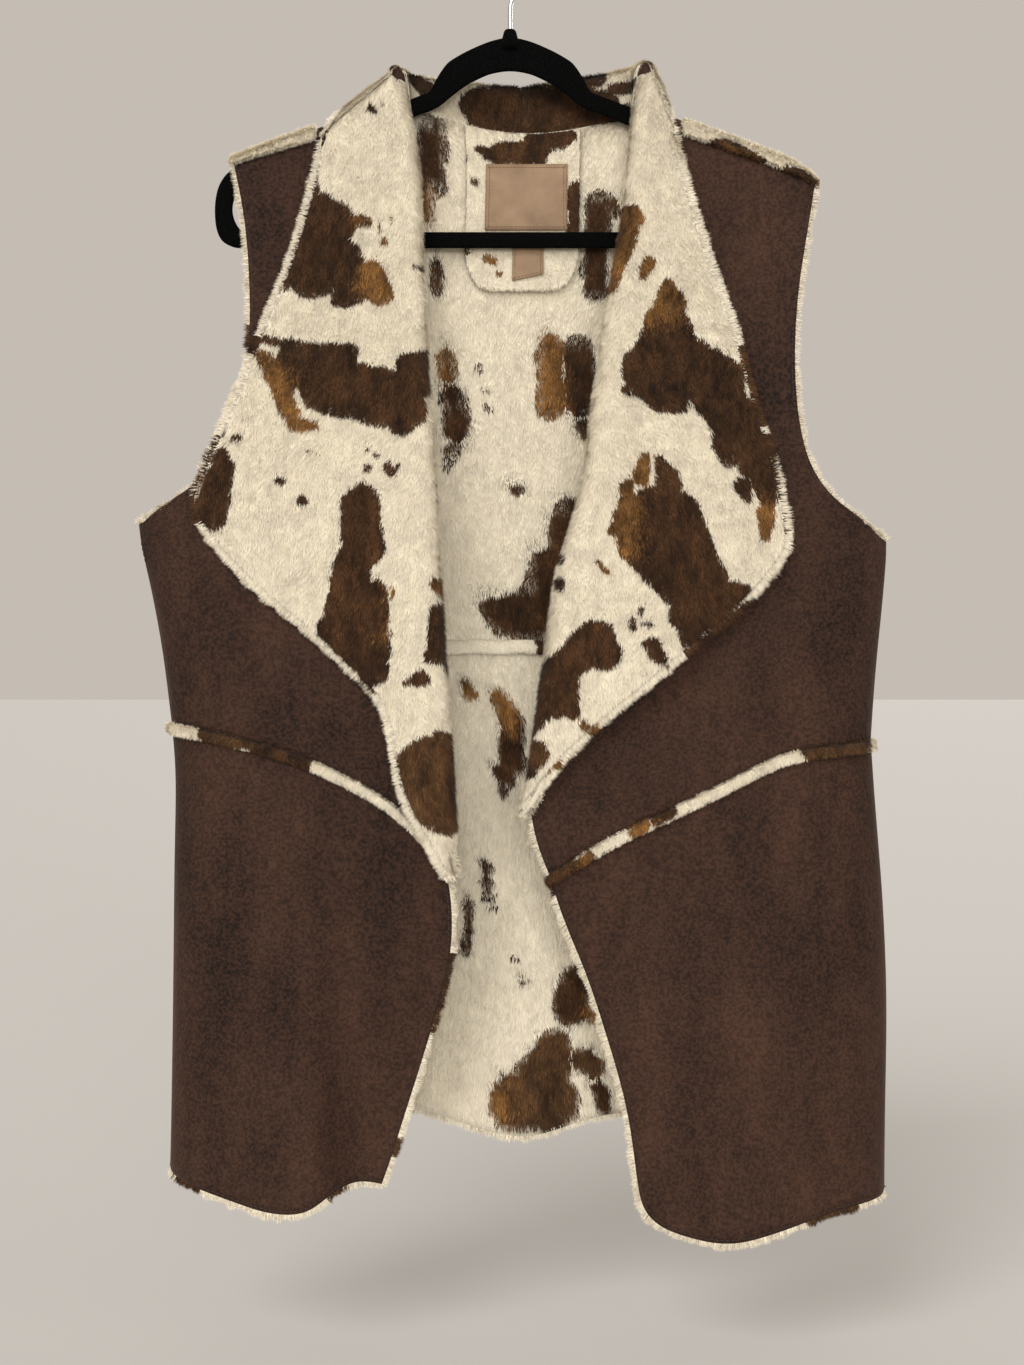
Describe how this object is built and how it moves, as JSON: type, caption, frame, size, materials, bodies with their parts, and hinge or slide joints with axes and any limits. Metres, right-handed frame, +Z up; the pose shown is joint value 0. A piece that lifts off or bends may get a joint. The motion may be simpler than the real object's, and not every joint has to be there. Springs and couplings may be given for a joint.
{
  "type": "western vest on hanger",
  "caption": "Open-front sleeveless vest with a wide draped shawl collar, suede outside and animal-print pile inside, hung on a flocked hanger.",
  "frame": {"origin": "inside top of the hanger's hook, where it hangs on a rail", "axes": "+X to the wearer's left, -Y out of the vest's front, +Z up"},
  "size_m": [0.568, 0.1181, 0.9756],
  "materials": {
    "suede": "brushed brown faux suede outside, pile inside",
    "pile": "short plush pile, cream with dark brown and tan patches",
    "label": "bare woven label",
    "flock": "black flocked",
    "wire": "bright wire"
  },
  "bodies": {
    "root": {"right_front_upper": "suede", "left_front_upper": "suede", "right_front_lower": "suede", "left_front_lower": "suede", "back_upper": "suede", "back_lower": "suede", "right_collar": "pile", "left_collar": "pile", "right_shoulder_strip": "pile", "left_shoulder_strip": "pile", "right_waist_strip": "pile", "left_waist_strip": "pile", "back_waist_strip": "pile", "neck_facing": "pile", "neck_label": "label", "care_label": "label", "hanger_body": "flock", "hanger_hook": "wire"}
  },
  "joints": []
}
